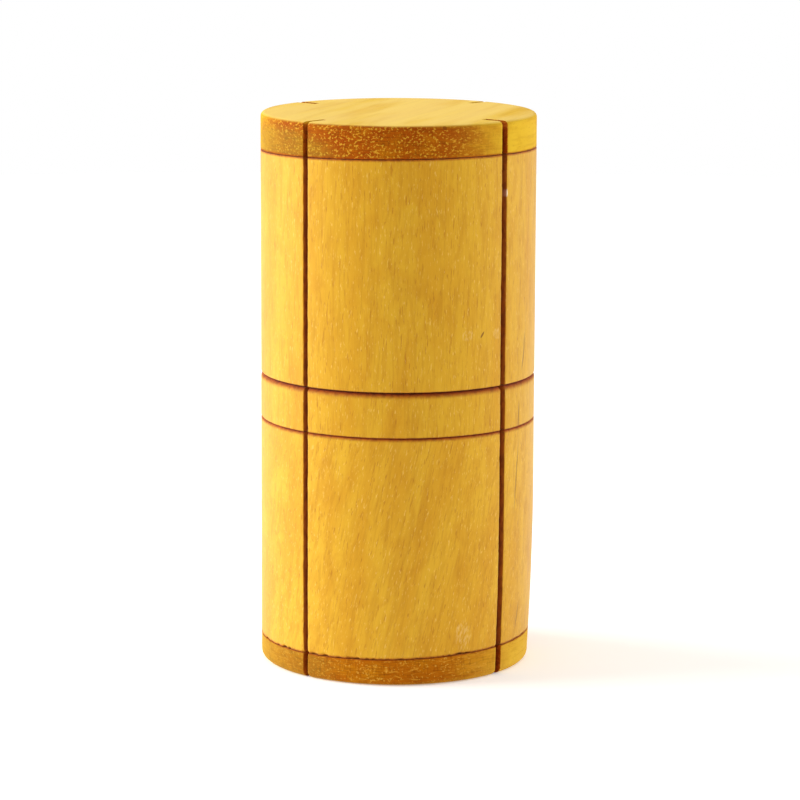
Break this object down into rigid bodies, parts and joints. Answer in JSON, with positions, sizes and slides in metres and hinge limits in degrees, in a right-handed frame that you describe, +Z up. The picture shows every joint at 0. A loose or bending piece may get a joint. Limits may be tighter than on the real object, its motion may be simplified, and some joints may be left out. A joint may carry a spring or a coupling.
{
  "type": "cryptex",
  "caption": "Round wooden puzzle box whose code ring and upper half turn to line up hidden gates, so the upper half lifts off with its stoppered vault tube.",
  "frame": {"origin": "middle of the flat underside of the bottom cap", "axes": "+Z up along the axis that the ring and the upper half turn on; -Y points at the locking pegs, under one of the four saw kerfs"},
  "size_m": [0.05, 0.05, 0.1005],
  "materials": {
    "body_wood": "sanded pale hardwood with a thin yellow oil, upright grain",
    "cap_wood": "the same hardwood with its grain lying level, darker where end grain shows",
    "gate_wood": "plain turned hardwood, unfinished",
    "tube_wood": "bored and turned hardwood tube, unfinished",
    "dowel_wood": "darker hardwood dowel",
    "stopper_wood": "darker turned hardwood"
  },
  "bodies": {
    "lower_half": {"bottom_cap": "cap_wood", "lower_barrel": "body_wood", "lower_gate": "gate_wood", "foot_bush": "gate_wood"},
    "guide": {"guide_sleeve": "tube_wood", "foot_collar": "gate_wood", "foot_pin_left": "dowel_wood", "foot_pin_right": "dowel_wood", "head_collar": "gate_wood", "head_pin_left": "dowel_wood", "head_pin_right": "dowel_wood"},
    "code_ring": {"code_ring": "body_wood", "ring_gate": "gate_wood"},
    "upper_half": {"upper_barrel": "body_wood", "top_cap": "cap_wood", "vault_tube": "tube_wood", "vault_bush": "gate_wood", "ring_peg": "dowel_wood", "lower_peg": "dowel_wood"},
    "stopper": {"vault_stopper": "stopper_wood"}
  },
  "joints": [
    {"name": "upper_turn", "type": "hinge", "parent": "lower_half", "child": "guide", "pos_m": [0, 0, 0.05], "axis": [0, 0, 1], "continuous": true},
    {"name": "ring_turn", "type": "hinge", "parent": "lower_half", "child": "code_ring", "pos_m": [0, 0, 0.049], "axis": [0, 0, 1], "continuous": true},
    {"name": "upper_lift", "type": "slide", "parent": "guide", "child": "upper_half", "axis": [0, 0, 1], "range_m": [0, 0.06]},
    {"name": "stopper_pull", "type": "slide", "parent": "upper_half", "child": "stopper", "axis": [0, 0, -1], "range_m": [0, 0.009]}
  ]
}
